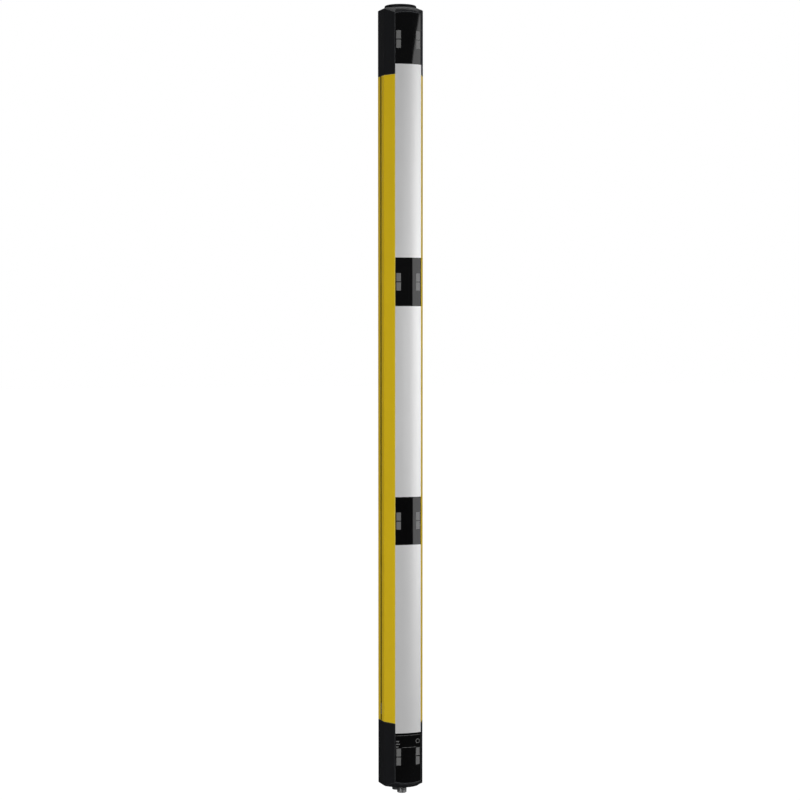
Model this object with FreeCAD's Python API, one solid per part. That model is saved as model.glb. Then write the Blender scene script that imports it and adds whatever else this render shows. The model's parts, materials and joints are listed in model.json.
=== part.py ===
# Multi-beam safety light barrier: a slim upright post with four light beams.
# Millimetres, +Z up. The front, with the windows, faces -Y and +X is the viewer's right.
# The origin lies on the post's long middle axis, in the plane where the round
# spigot of the top end cap starts, so the rest of the post hangs below it.

import FreeCAD, Part
import math
import os

os.makedirs("parts", exist_ok=True)

Vector = FreeCAD.Vector
X_AXIS = Vector(1, 0, 0)
Y_AXIS = Vector(0, 1, 0)
Z_AXIS = Vector(0, 0, 1)
ORIGIN = Vector(0, 0, 0)

# Beams, numbered from the top
beam_count = 4
beam_pitch = 300.0

# Outer section, the same for the extrusion and the end caps
section_width = 52.0
section_depth = 64.7
side_flat = 22.6
rear_bevel_width = 10.0
front_bevel_width = 8.5
window_rise = 3.1
corner_radius = 2.0

# Where the end caps and the windows lie, measured from an outer beam
end_beyond_beam = 41.5
skirt_inside_beam = 42.2
window_half_height = 30.3

# Housing extrusion
housing_wall = 2.0
lip_tip = 0.4
seat_depth = 6.35
bead_reach = 2.5
bead_depth = 2.0

# Mounting grooves of the extrusion
side_mouth = 4.4
side_lip = 1.8
side_groove_width = 8.4
side_groove_depth = 3.6
rear_mouth = 6.4
rear_lip = 2.2
rear_groove_width = 10.8
rear_groove_depth = 4.0
groove_wall = 1.8

# Guide ribs that hold the module rail
guide_reach = 3.0
guide_thickness = 1.4
guide_gap = 0.3

# Screw ports of the extrusion
port_radius = 3.4
port_from_side = 6.4
port_from_rear = 18.55

# Front pane and its cover strips
pane_thickness = 2.2
pane_side_clearance = 0.1
pane_end_clearance = 0.2
pane_foot_width = 2.0
strip_thickness = 0.3
strip_adhesive = 0.3
seal_thickness = 0.6
seal_width = 1.8

# End caps
cap_wall = 2.4
cap_end_wall = 3.0
shoulder_radius = 14.0
end_flat_radius = 21.0
shoulder_flats = 3
shoulder_flat_angle = 22.0
brow_drop = 2.4
roof_from_side = 6.0
roof_from_rear = 10.35
flange_thickness = 3.0
throat_from_box = 3.4
throat_from_rear_box = 1.35
tongue_thickness = 1.8
tongue_length = 10.0
tongue_clearance = 0.2
gasket_thickness = 0.6
gasket_inset = 0.3
spigot_radius = 20.0
spigot_height = 4.0
spigot_rim = 1.5
spigot_pocket_radius = 14.0
well_wall = 1.5
well_floor = 4.0

# Cap screws
cap_screw_radius = 2.0
cap_screw_length = 18.0
cap_head_across = 6.0
cap_head_height = 2.6
thread_clearance = 0.05
screw_clearance = 0.25
head_clearance = 0.7

# Module rail
rail_thickness = 1.6
rail_end_clearance = 0.6
rail_lip_height = 4.0
rail_lip_inset = 2.7
rail_end_beyond_beam = 16.0
rail_side_clearance = 0.5
header_clearance = 0.3

# Optic modules
holder_width = 19.2
holder_front_gap = 0.3
lens_radius = 8.2
lens_thickness = 2.0
lens_seat_depth = 3.0
lens_clearance = 0.1
light_stop_side = 11.2
diode_side = 4.0
diode_height = 1.8
holder_flange_inset = 2.8
holder_flange_height = 31.0
holder_flange_thickness = 2.0
board_thickness = 1.6
module_board_inset = 1.0
module_board_height = 26.0

# Snap pegs that hold the modules and the control board
peg_width = 4.0
peg_height = 2.0
peg_hook = 0.8
peg_hook_length = 1.2
peg_clearance = 0.15
module_peg_x = 8.0
module_peg_z = 14.4

# Ribbon cable and its plugs
ribbon_inset = 2.0
ribbon_thickness = 0.9
ribbon_overrun = 8.0
plug_side_room = 3.5
plug_height = 5.0
plug_depth = 4.0

# Control board
control_board_inset = 1.2
control_board_length = 132.0
control_board_drop = 14.0
support_length = 5.6
support_side = 5.0
support_inset = 4.0
support_above_beam = 24.0
processor_side = 14.0
processor_height = 1.8
processor_gap = 8.0
processor_pitch = 24.0
switch_width = 10.0
switch_length = 9.0
switch_share = 0.5
switch_height_above_beam = 10.0
switch_pitch = 13.0
capacitor_radius = 3.2
capacitor_share = 0.6
capacitor_gap = 6.8
terminal_width = 12.0
terminal_length = 8.0
terminal_share = 0.48

# Status lamp, beside the lowest beam
lamp_from_window_edge = 4.8
lamp_above_beam = 19.2
lamp_side = 2.6
lamp_height = 1.6
light_pipe_radius = 1.4
light_pipe_foot_side = 5.0
light_pipe_foot_height = 3.0
light_pipe_gap = 0.3
display_board_height = 7.4

# Round connector and the closed second port, both on the lower end
connector_y = -5.45
connector_radius = 6.0
connector_length = 9.5
connector_bore_radius = 4.7
connector_bore_depth = 8.0
connector_stem_radius = 5.0
connector_stem_length = 9.0
connector_nut_across = 14.0
connector_nut_thickness = 3.0
insert_clearance = 0.1
insert_recess = 5.0
pin_across = 1.0
pin_circle_radius = 2.6
pin_count = 5
pin_tip_recess = 1.2
stem_clearance = 0.1
plug_spacing = 19.8
blank_radius = 5.8
blank_length = 9.5
blank_stem_radius = 5.0
blank_stem_length = 7.0

# Flat lead from the round connector to the control board
lead_width = 6.0
lead_thickness = 0.8
lead_bend_radius = 4.0
lead_level = 22.5

# Slot nut, left in the side groove near the lower end
nut_above_beam = 57.5
nut_length = 14.0
nut_clearance = 0.2
nut_screw_radius = 1.5
nut_screw_length = 4.0

# Values worked out from the sizes above

half_width = section_width / 2
half_depth = section_depth / 2
half_window = half_width - front_bevel_width
half_side = side_flat / 2
front_edge_y = window_rise - half_depth
front_radius = (half_window ** 2 + window_rise ** 2) / (2 * window_rise)
front_centre_y = front_radius - half_depth
beam_z = [-(end_beyond_beam + i * beam_pitch) for i in range(beam_count)]
first_beam = beam_z[0]
last_beam = beam_z[-1]
lower_end = last_beam - end_beyond_beam
housing_top = first_beam - skirt_inside_beam - gasket_thickness
housing_bottom = last_beam + skirt_inside_beam + gasket_thickness
far = section_width + section_depth

seat_y = seat_depth - half_depth
bead_rear_y = seat_y + bead_depth
slot_half = half_window - lip_tip
bead_half = slot_half - bead_reach
pane_half = slot_half - pane_side_clearance
strip_inner_radius = front_radius - strip_thickness
pane_outer_radius = strip_inner_radius - strip_adhesive
pane_inner_radius = pane_outer_radius - pane_thickness
foot_rear_y = seat_y - seal_thickness

side_groove_floor = half_width - side_lip - side_groove_depth
side_box_half = side_groove_width / 2 + groove_wall
side_box_x = side_groove_floor - groove_wall
rear_groove_floor = half_depth - rear_lip - rear_groove_depth
rear_box_half = rear_groove_width / 2 + groove_wall
rear_box_y = rear_groove_floor - groove_wall

throat_half = side_box_x - throat_from_box
throat_rear_y = rear_box_y - throat_from_rear_box
rail_end_half = throat_half - rail_end_clearance
rail_lip_half = rail_end_half - rail_lip_inset
plug_half = rail_lip_half - rail_thickness - plug_side_room
roof_half_width = half_width - roof_from_side
roof_half_depth = half_depth - roof_from_rear

rail_front_y = side_box_half + guide_gap
rail_rear_y = rail_front_y + rail_thickness
guide_y = rail_rear_y + guide_gap
module_board_front_y = rail_front_y - board_thickness
holder_flange_front_y = module_board_front_y - holder_flange_thickness
rail_top = first_beam + rail_end_beyond_beam
rail_bottom = last_beam - rail_end_beyond_beam

port_x = half_width - port_from_side
port_y = half_depth - port_from_rear
port_places = [(-port_x, port_y), (port_x, port_y)]
port_hole_radius = cap_screw_radius + thread_clearance
screw_hole_radius = cap_screw_radius + screw_clearance
well_half = cap_head_across / 2 + head_clearance


def arc_y(x, radius):
    """The y of a front surface that is round about the window's own centre."""
    return front_centre_y - math.sqrt(radius ** 2 - x ** 2)


def save(name, shape):
    """Writes one sub-part and tells what was written."""
    shape.exportStep("parts/" + name + ".step")
    print(name, "solids", len(shape.Solids), "volume", round(shape.Volume), "valid", shape.isValid())


def group(solids):
    """Several separate solids that share one node."""
    return Part.makeCompound(solids)


def rounded_corner(before, corner, after, radius):
    """The start, middle and end of the arc that rounds a corner."""
    back = (before - corner).normalize()
    ahead = (after - corner).normalize()
    half_angle = back.getAngle(ahead) / 2
    reach = radius / math.tan(half_angle)
    start = corner + back * reach
    end = corner + ahead * reach
    inward = (back + ahead).normalize()
    middle = corner + inward * (radius / math.sin(half_angle) - radius)
    return start, middle, end


def outline_face(inset):
    """The outer section, moved inwards by an inset."""
    slope = Vector(half_width - half_window, front_edge_y + half_side, 0)
    slope.y = -(half_side + front_edge_y)
    bevel_length = slope.Length
    run = slope.x / bevel_length
    rise = slope.y / bevel_length
    side_x = half_width - inset

    def front_bevel_x(y):
        return half_width + (y + half_side) * run / rise - inset / rise

    def rear_bevel_x(y):
        slope_rear = rear_bevel_width / (half_depth - half_side)
        length = math.hypot(1, slope_rear)
        return half_width - (y - half_side) * slope_rear - inset * length

    def side_corner_y(bevel_x, start):
        step = 1.0
        gradient = (bevel_x(start + step) - bevel_x(start)) / step
        return start + (side_x - bevel_x(start)) / gradient

    radius = front_radius - inset
    front_x = half_window - inset
    for _ in range(12):
        front_x = front_bevel_x(arc_y(front_x, radius))
    front_y = arc_y(front_x, radius)
    rear_y = half_depth - inset
    rear_x = rear_bevel_x(rear_y)
    right = [
        Vector(front_x, front_y, 0),
        Vector(side_x, side_corner_y(front_bevel_x, -half_side), 0),
        Vector(side_x, side_corner_y(rear_bevel_x, half_side), 0),
        Vector(rear_x, rear_y, 0),
    ]
    left = [Vector(-p.x, p.y, 0) for p in reversed(right)]
    corners = right + left
    bend = max(corner_radius - inset, 0.2)
    edges = []
    cursor = corners[0]
    for i in range(1, len(corners) - 1):
        start, middle, end = rounded_corner(corners[i - 1], corners[i], corners[i + 1], bend)
        edges.append(Part.makeLine(cursor, start))
        edges.append(Part.Arc(start, middle, end).toShape())
        cursor = end
    edges.append(Part.makeLine(cursor, corners[-1]))
    apex = Vector(0, arc_y(0, radius), 0)
    edges.append(Part.Arc(corners[-1], apex, corners[0]).toShape())
    return Part.Face(Part.Wire(edges))


def rectangle(x0, x1, y0, y1):
    """A flat rectangle in the section plane."""
    corners = [Vector(x0, y0, 0), Vector(x1, y0, 0), Vector(x1, y1, 0), Vector(x0, y1, 0)]
    return Part.Face(Part.makePolygon(corners + corners[:1]))


def disc(x, y, radius):
    """A flat disc in the section plane."""
    return Part.Face(Part.Wire(Part.makeCircle(radius, Vector(x, y, 0))))


def prism(face, z0, z1):
    """A section pulled along the post."""
    moved = face.copy()
    moved.translate(Vector(0, 0, z0))
    return moved.extrude(Vector(0, 0, z1 - z0))


def block(x0, x1, y0, y1, z0, z1):
    """A box between two corners."""
    return Part.makeBox(x1 - x0, y1 - y0, z1 - z0, Vector(x0, y0, z0))


def post(x, y, z0, z1, radius):
    """An upright cylinder."""
    return Part.makeCylinder(radius, z1 - z0, Vector(x, y, z0))


def rod(x, z, y0, y1, radius):
    """A cylinder that runs from front to rear."""
    return Part.makeCylinder(radius, y1 - y0, Vector(x, y0, z), Y_AXIS)


def hexagon(x, y, z0, z1, across):
    """An upright six-sided bar, measured across its flats."""
    reach = across / 2 / math.cos(math.pi / 6)
    corners = []
    for i in range(7):
        angle = i * math.pi / 3
        corners.append(Vector(x + reach * math.cos(angle), y + reach * math.sin(angle), z0))
    return Part.Face(Part.makePolygon(corners)).extrude(Vector(0, 0, z1 - z0))


def turned(points, place, axis):
    """A turned piece: the outline is given as distance from the axis and place along it."""
    wire = Part.makePolygon([Vector(r, 0, h) for r, h in points + points[:1]])
    solid = Part.Face(wire).revolve(ORIGIN, Z_AXIS, 360)
    solid = Part.Solid(solid.Shells[0]) if solid.ShapeType != "Solid" else solid
    solid.rotate(ORIGIN, Z_AXIS.cross(axis) if Z_AXIS.cross(axis).Length > 0.5 else X_AXIS,
                 math.degrees(Z_AXIS.getAngle(axis)))
    solid.translate(place)
    return solid


def arc_band(half, outer, inner, z0, z1):
    """A band that follows the round front, between two radii."""
    points = []
    for radius in (outer, inner):
        points.append([Vector(x, arc_y(x, radius), 0) for x in (-half, 0, half)])
    front = Part.Arc(*points[0]).toShape()
    right = Part.makeLine(points[0][2], points[1][2])
    back = Part.Arc(*reversed(points[1])).toShape()
    left = Part.makeLine(points[1][0], points[0][0])
    return prism(Part.Face(Part.Wire([front, right, back, left])), z0, z1)


# Housing extrusion

def housing_cavity_faces():
    """What is hollow in the extrusion: the inside and the slot that the front pane fills."""
    inside = outline_face(housing_wall).common(rectangle(-far, far, bead_rear_y, far))
    mouth = rectangle(-bead_half, bead_half, seat_y, bead_rear_y)
    seat = rectangle(-slot_half, slot_half, -far, seat_y)
    return [inside, mouth, seat]


def groove_faces():
    """The three mounting grooves: one in each side and one in the rear."""
    faces = []
    for side in (-1, 1):
        outer_x = sorted((side * (half_width - side_lip), side * far))
        inner_x = sorted((side * side_groove_floor, side * (half_width - side_lip)))
        faces.append(rectangle(*outer_x, -side_mouth / 2, side_mouth / 2))
        faces.append(rectangle(*inner_x, -side_groove_width / 2, side_groove_width / 2))
    faces.append(rectangle(-rear_mouth / 2, rear_mouth / 2, half_depth - rear_lip, far))
    faces.append(rectangle(-rear_groove_width / 2, rear_groove_width / 2,
                           rear_groove_floor, half_depth - rear_lip))
    return faces


def housing_shell_face(inset):
    """The thin wall of the extrusion, with its outside moved inwards by an inset."""
    return outline_face(inset).cut(housing_cavity_faces())


def make_housing_profile():
    shell = prism(housing_shell_face(0.0), housing_bottom, housing_top)
    inner_outline = outline_face(housing_wall / 2)
    stiff = []
    for side in (-1, 1):
        box_x = sorted((side * side_box_x, side * half_width))
        stiff.append(rectangle(*box_x, -side_box_half, side_box_half))
        rib_x = sorted((side * (half_width - housing_wall - guide_reach), side * half_width))
        stiff.append(rectangle(*rib_x, guide_y, guide_y + guide_thickness))
    stiff.append(rectangle(-rear_box_half, rear_box_half, rear_box_y, half_depth))
    for x, y in port_places:
        stiff.append(disc(x, y, port_radius))
    stiff = [prism(piece.common(inner_outline), housing_bottom, housing_top) for piece in stiff]
    holes = groove_faces() + [disc(x, y, port_hole_radius) for x, y in port_places]
    holes = [prism(hole, housing_bottom, housing_top) for hole in holes]
    return shell.fuse(stiff).removeSplitter().cut(holes).removeSplitter()


def make_gasket(z0):
    return prism(housing_shell_face(gasket_inset), z0, z0 + gasket_thickness)


# End caps, made with their beam at height zero and their end upwards

def dome(low):
    """A turned solid with the shoulder of a cap's end, its round made of narrow flats."""
    corners = [Vector(0, 0, low), Vector(far, 0, low)]
    last_angle = math.radians(shoulder_flats * shoulder_flat_angle)
    rim = end_flat_radius + shoulder_radius * math.sin(last_angle)
    rim_z = end_beyond_beam - shoulder_radius * (1 - math.cos(last_angle))
    corners.append(Vector(far, 0, rim_z - (far - rim) * math.tan(last_angle)))
    for i in range(shoulder_flats, -1, -1):
        angle = math.radians(i * shoulder_flat_angle)
        corners.append(Vector(end_flat_radius + shoulder_radius * math.sin(angle), 0,
                              end_beyond_beam - shoulder_radius * (1 - math.cos(angle))))
    corners.append(Vector(0, 0, end_beyond_beam))
    return Part.Face(Part.makePolygon(corners + corners[:1])).revolve(ORIGIN, Z_AXIS, 360)


def coned_end(drop, low):
    """A turned solid with a plain cone under the shoulder, for what a cap holds or hollows."""
    touch_radius = end_flat_radius + shoulder_radius / math.sqrt(2)
    touch_z = end_beyond_beam - shoulder_radius + shoulder_radius / math.sqrt(2) - drop
    top = end_beyond_beam - cap_end_wall
    corners = [
        Vector(0, 0, low),
        Vector(far, 0, low),
        Vector(far, 0, touch_z - (far - touch_radius)),
        Vector(touch_radius - (top - touch_z), 0, top),
        Vector(0, 0, top),
    ]
    return Part.Face(Part.makePolygon(corners + corners[:1])).revolve(ORIGIN, Z_AXIS, 360)


def hipped_end(low):
    """The roof of the room in a cap: flat in the middle, with four slopes under the shoulder."""
    top = end_beyond_beam - cap_end_wall
    gables = []
    for half_flat, half_reach, across in ((roof_half_width, half_width, X_AXIS),
                                          (roof_half_depth, half_depth, Y_AXIS)):
        eaves = top - (half_reach - half_flat)
        outline = [(-half_reach, low), (half_reach, low), (half_reach, eaves),
                   (half_flat, top), (-half_flat, top), (-half_reach, eaves)]
        corners = [across * reach + Z_AXIS * z for reach, z in outline]
        along = Z_AXIS.cross(across) * far
        gable = Part.Face(Part.makePolygon(corners + corners[:1]))
        gable.translate(along * -0.5)
        gables.append(gable.extrude(along))
    return gables[0].common(gables[1])


def cap_shell():
    """The part that both caps share: walls, shoulder, flange, tongues and screw wells."""
    skirt = -skirt_inside_beam
    low = skirt - gasket_thickness - tongue_length
    above = end_beyond_beam + 1
    deep = low - 2 * far
    ceiling = hipped_end(deep)
    body = prism(outline_face(0.0), skirt, above).common(dome(deep))
    seat = rectangle(-slot_half, slot_half, -far, seat_y)
    body = body.cut(prism(seat, low, above).common(coned_end(brow_drop, deep)))
    mouth = rectangle(-bead_half, bead_half, seat_y - 1, bead_rear_y + 1)
    body = body.cut(prism(mouth, low, above).common(ceiling))
    hollow = outline_face(cap_wall).common(rectangle(-far, far, bead_rear_y, far))
    room = prism(hollow, skirt + flange_thickness, above).common(ceiling)
    wells = []
    for x, y in port_places:
        tower_x = sorted((x - math.copysign(well_half + well_wall, x), math.copysign(far, x)))
        tower = block(*tower_x, y - well_half - well_wall, y + well_half + well_wall, skirt, above)
        wells.append(tower.common(body))
    body = body.cut(room)
    throat = rectangle(-throat_half, throat_half, bead_rear_y - 0.5, throat_rear_y)
    body = body.cut(prism(throat, skirt - 1, skirt + flange_thickness + 1))
    body = body.fuse(wells)
    for x, y in port_places:
        body = body.cut(block(x - well_half, x + well_half, y - well_half, y + well_half,
                              skirt + well_floor, above))
        body = body.cut(post(x, y, skirt - 1, above, screw_hole_radius))
    return body.fuse(cap_tongues(low, skirt)).removeSplitter()


def cap_tongues(low, skirt):
    """Tongues that reach into the extrusion beside its grooves, ribs and ports."""
    outer = outline_face(housing_wall + tongue_clearance)
    inner = outline_face(housing_wall + tongue_clearance + tongue_thickness)
    keep_out = [rectangle(-far, far, -far, bead_rear_y + tongue_clearance)]
    half_box = side_box_half + tongue_clearance
    keep_out.append(rectangle(-far, far, -half_box, guide_y + guide_thickness + tongue_clearance))
    beside_rear_box = rear_box_half + tongue_clearance
    keep_out.append(rectangle(-beside_rear_box, beside_rear_box, throat_rear_y, far))
    for x, y in port_places:
        keep_out.append(disc(x, y, port_radius + tongue_clearance))
    ring = outer.cut([inner] + keep_out)
    smallest = tongue_thickness ** 2
    return [prism(face, low, skirt) for face in ring.Faces if face.Area > smallest]


def put_at_top(shape):
    """Moves a cap piece from beam height zero to the top beam."""
    moved = shape.copy()
    moved.translate(Vector(0, 0, first_beam))
    return moved


def put_at_bottom(shape):
    """Turns a cap piece upside down and moves it to the lowest beam."""
    moved = shape.mirror(ORIGIN, Z_AXIS)
    moved.translate(Vector(0, 0, last_beam))
    return moved


def make_top_end_cap():
    base = end_beyond_beam
    top = base + spigot_height
    spigot = turned(
        [(0, base), (spigot_radius, base), (spigot_radius, top - spigot_rim),
         (spigot_radius - spigot_rim, top), (0, top)],
        ORIGIN, Z_AXIS)
    pocket = post(0, 0, base - cap_end_wall, top - cap_end_wall, spigot_pocket_radius)
    return put_at_top(cap_shell().fuse(spigot).cut(pocket).removeSplitter())


def make_bottom_end_cap():
    cap = put_at_bottom(cap_shell())
    hole_places = [(connector_y, connector_stem_radius), (connector_y + plug_spacing, blank_stem_radius)]
    for y, radius in hole_places:
        cap = cap.cut(post(0, y, lower_end - 1, lower_end + 2 * cap_end_wall, radius + stem_clearance))
    return cap


def cap_screws():
    """The screws of one cap, with the cap's beam at height zero."""
    head_z = -skirt_inside_beam + well_floor
    screws = []
    for x, y in port_places:
        shank = post(x, y, head_z - cap_screw_length, head_z, cap_screw_radius)
        head = hexagon(x, y, head_z, head_z + cap_head_height, cap_head_across)
        screws.append(shank.fuse(head))
    return screws


def make_cap_screws():
    upper = [put_at_top(screw) for screw in cap_screws()]
    lower = [put_at_bottom(screw) for screw in cap_screws()]
    return group(upper + lower)


# Front pane, strips and seals

def make_front_window():
    pane = arc_band(pane_half, pane_outer_radius, pane_inner_radius, lower_end, 0)
    pane = pane.common(block(-far, far, -far, foot_rear_y, lower_end, 0))
    middle_y = arc_y(pane_half, (pane_outer_radius + pane_inner_radius) / 2)
    for side in (-1, 1):
        foot_x = sorted((side * (pane_half - pane_foot_width), side * pane_half))
        pane = pane.fuse(block(*foot_x, middle_y, foot_rear_y, lower_end, 0))
    end = coned_end(brow_drop + pane_end_clearance, 2 * lower_end)
    return pane.common(put_at_top(end)).common(put_at_bottom(end)).removeSplitter()


def make_window_seal(side):
    inner = pane_half - (pane_foot_width + seal_width) / 2
    outer = pane_half - (pane_foot_width - seal_width) / 2
    seal_x = sorted((side * inner, side * outer))
    beyond = end_beyond_beam - shoulder_radius
    return block(*seal_x, foot_rear_y, seat_y, last_beam - beyond, first_beam + beyond)


def make_cover_strip(upper_beam, lower_beam):
    top = upper_beam - window_half_height
    bottom = lower_beam + window_half_height
    return arc_band(pane_half, front_radius, strip_inner_radius, bottom, top)


# Rail with the optic modules

def make_module_rail():
    wide = half_width - housing_wall - rail_side_clearance
    clear_top = housing_top - tongue_length - rail_side_clearance
    clear_bottom = housing_bottom + tongue_length + rail_side_clearance
    rail = block(-wide, wide, rail_front_y, rail_rear_y, clear_bottom, clear_top)
    rail = rail.fuse(block(-rail_end_half, rail_end_half, rail_front_y, rail_rear_y, rail_bottom, rail_top))
    for side in (-1, 1):
        lip_x = sorted((side * (rail_lip_half - rail_thickness), side * rail_lip_half))
        lip_bottom = last_beam - control_board_drop + control_board_length + guide_gap
        rail = rail.fuse(block(*lip_x, rail_rear_y, rail_rear_y + rail_lip_height, lip_bottom, rail_top))
    slot_half_width = plug_half + header_clearance
    slot_half_height = plug_height / 2 + header_clearance
    for z in beam_z:
        rail = rail.cut(block(-slot_half_width, slot_half_width, rail_front_y, rail_rear_y,
                              z - slot_half_height, z + slot_half_height))
    pegs = [place for z in beam_z for place in module_peg_places(z)]
    for x, z in pegs + support_places():
        rail = rail.cut(peg_slot(x, z, rail_front_y, rail_rear_y))
    return rail.removeSplitter()


def module_peg_places(z):
    """Where the pegs of one lens holder pass through the rail, above and below its board."""
    return [(side * module_peg_x, z + side * module_peg_z) for side in (-1, 1)]


def peg_slot(x, z, y0, y1):
    """The slot that a snap peg passes through."""
    half_width_of_slot = peg_width / 2 + peg_clearance
    half_height_of_slot = peg_height / 2 + peg_clearance
    return block(x - half_width_of_slot, x + half_width_of_slot, y0, y1,
                 z - half_height_of_slot, z + half_height_of_slot)


def peg(x, z, y0, y1, direction, hook_side):
    """A snap peg along the depth from y0 to y1, with its hook beyond y1."""
    start, end = sorted((y0, y1 + direction * peg_hook_length))
    stem = block(x - peg_width / 2, x + peg_width / 2, start, end, z - peg_height / 2, z + peg_height / 2)
    hook_y = sorted((y1 + direction * peg_clearance, y1 + direction * peg_hook_length))
    hook_z = sorted((z, z + hook_side * (peg_height / 2 + peg_hook)))
    hook = block(x - peg_width / 2, x + peg_width / 2, *hook_y, *hook_z)
    return stem.fuse(hook).removeSplitter()


def holder_front_y():
    """The front of a lens holder, a small gap behind the round inner face of the pane."""
    return arc_y(holder_width / 2, pane_inner_radius) + holder_front_gap


def make_lens_holder(z):
    front = holder_front_y()
    half_width_of_body = holder_width / 2
    half_flange = rail_end_half - holder_flange_inset
    half_stop = light_stop_side / 2
    holder = block(-half_width_of_body, half_width_of_body, front, holder_flange_front_y,
                   z - half_width_of_body, z + half_width_of_body)
    holder = holder.fuse(block(-half_flange, half_flange, holder_flange_front_y, module_board_front_y,
                               z - holder_flange_height / 2, z + holder_flange_height / 2))
    holder = holder.cut(rod(0, z, front, front + lens_seat_depth, lens_radius + lens_clearance))
    holder = holder.cut(block(-half_stop, half_stop, front, module_board_front_y,
                              z - half_stop, z + half_stop))
    for x, peg_z in module_peg_places(z):
        holder = holder.fuse(peg(x, peg_z, module_board_front_y, rail_rear_y, 1, math.copysign(1, x)))
    return holder.removeSplitter()


def make_lens(z):
    rear = holder_front_y() + lens_seat_depth
    return rod(0, z, rear - lens_thickness, rear, lens_radius)


def make_module_board(z):
    half_board = rail_end_half - module_board_inset
    return block(-half_board, half_board, module_board_front_y, rail_front_y,
                 z - module_board_height / 2, z + module_board_height / 2)


def make_diode(z):
    half = diode_side / 2
    return block(-half, half, module_board_front_y - diode_height, module_board_front_y, z - half, z + half)


# Ribbon cable, its headers and plugs

def make_ribbon_cable():
    half_ribbon = plug_half - ribbon_inset
    return block(-half_ribbon, half_ribbon, rail_rear_y, rail_rear_y + ribbon_thickness,
                 last_beam - ribbon_overrun, first_beam + ribbon_overrun)


def make_board_headers():
    return group([block(-plug_half, plug_half, rail_front_y, rail_rear_y,
                        z - plug_height / 2, z + plug_height / 2) for z in beam_z])


def make_ribbon_plugs():
    base = rail_rear_y + ribbon_thickness
    return group([block(-plug_half, plug_half, base, base + plug_depth,
                        z - plug_height / 2, z + plug_height / 2) for z in beam_z])


# Control board with what is on it

control_bottom = last_beam - control_board_drop
control_top = control_bottom + control_board_length
control_front_y = rail_rear_y + support_length
control_rear_y = control_front_y + board_thickness
rear_room = rear_box_y - control_rear_y
switch_low = last_beam + switch_height_above_beam
processor_low = switch_low + switch_pitch + switch_length + processor_gap
capacitor_low = processor_low + processor_pitch + processor_side + capacitor_gap


def support_places():
    """The four corners at which supports hold the control board off the rail."""
    x = rail_end_half - control_board_inset - support_inset
    low = last_beam + support_above_beam
    high = control_top - support_inset
    return [(-x, low), (x, low), (-x, high), (x, high)]


def make_control_board():
    half_board = rail_end_half - control_board_inset
    board = block(-half_board, half_board, control_front_y, control_rear_y, control_bottom, control_top)
    for x, z in support_places():
        board = board.cut(peg_slot(x, z, control_front_y, control_rear_y))
    return board


def make_board_supports():
    half = support_side / 2
    pieces = []
    for x, z in support_places():
        piece = block(x - half, x + half, rail_rear_y, control_front_y, z - half, z + half)
        piece = piece.fuse(peg(x, z, rail_rear_y, rail_front_y, -1, 1))
        pieces.append(piece.fuse(peg(x, z, control_front_y, control_rear_y, 1, 1)).removeSplitter())
    return group(pieces)


def make_board_plug():
    top = capacitor_low + capacitor_radius
    return block(-plug_half, plug_half, rail_rear_y + ribbon_thickness, control_front_y,
                 top - plug_height, top)


def make_safety_processors():
    half = processor_side / 2
    return group([block(-half, half, control_rear_y, control_rear_y + processor_height,
                        low, low + processor_side)
                  for low in (processor_low, processor_low + processor_pitch)])


def make_output_switches():
    half = switch_width / 2
    rear = control_rear_y + switch_share * rear_room
    return group([block(-half, half, control_rear_y, rear, low, low + switch_length)
                  for low in (switch_low, switch_low + switch_pitch)])


def make_board_capacitor():
    return rod(0, capacitor_low + capacitor_radius, control_rear_y,
               control_rear_y + capacitor_share * rear_room, capacitor_radius)


def make_terminal_block():
    half = terminal_width / 2
    return block(-half, half, control_rear_y, control_rear_y + terminal_share * rear_room,
                 control_bottom, control_bottom + terminal_length)


# Status lamp

lamp_x = half_window - lamp_from_window_edge
lamp_z = last_beam + lamp_above_beam
display_front_y = module_board_front_y


def make_display_board():
    half_board = rail_end_half - module_board_inset
    return block(-half_board, half_board, display_front_y, rail_front_y,
                 lamp_z - display_board_height / 2, lamp_z + display_board_height / 2)


def make_status_lamp():
    half = lamp_side / 2
    return block(lamp_x - half, lamp_x + half, display_front_y - lamp_height, display_front_y,
                 lamp_z - half, lamp_z + half)


def make_light_pipe():
    front = arc_y(lamp_x - light_pipe_radius, pane_inner_radius)
    front = max(front, arc_y(lamp_x + light_pipe_radius, pane_inner_radius)) + light_pipe_gap
    foot_front = display_front_y - light_pipe_foot_height
    half_foot = light_pipe_foot_side / 2
    pipe = rod(lamp_x, lamp_z, front, foot_front, light_pipe_radius)
    pipe = pipe.fuse(block(lamp_x - half_foot, lamp_x + half_foot, foot_front, display_front_y,
                           lamp_z - half_foot, lamp_z + half_foot))
    half_room = lamp_side / 2 + light_pipe_gap
    room = block(lamp_x - half_room, lamp_x + half_room, display_front_y - lamp_height - light_pipe_gap,
                 display_front_y, lamp_z - half_room, lamp_z + half_room)
    return pipe.cut(room)


# Round connector, closed port and inner lead at the lower end

stem_top = lower_end + connector_stem_length
connector_mouth = lower_end - connector_length
bore_top = connector_mouth + connector_bore_depth
insert_bottom = connector_mouth + insert_recess


def make_connector_shell():
    chamfer = (connector_radius - connector_bore_radius) / 2
    return turned(
        [(connector_bore_radius, 0), (connector_radius - chamfer, 0), (connector_radius, chamfer),
         (connector_radius, connector_length), (connector_stem_radius, connector_length),
         (connector_stem_radius, connector_length + connector_stem_length),
         (0, connector_length + connector_stem_length), (0, connector_bore_depth),
         (connector_bore_radius, connector_bore_depth)],
        Vector(0, connector_y, connector_mouth), Z_AXIS)


def make_connector_insert():
    return post(0, connector_y, insert_bottom, bore_top, connector_bore_radius - insert_clearance)


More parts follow.
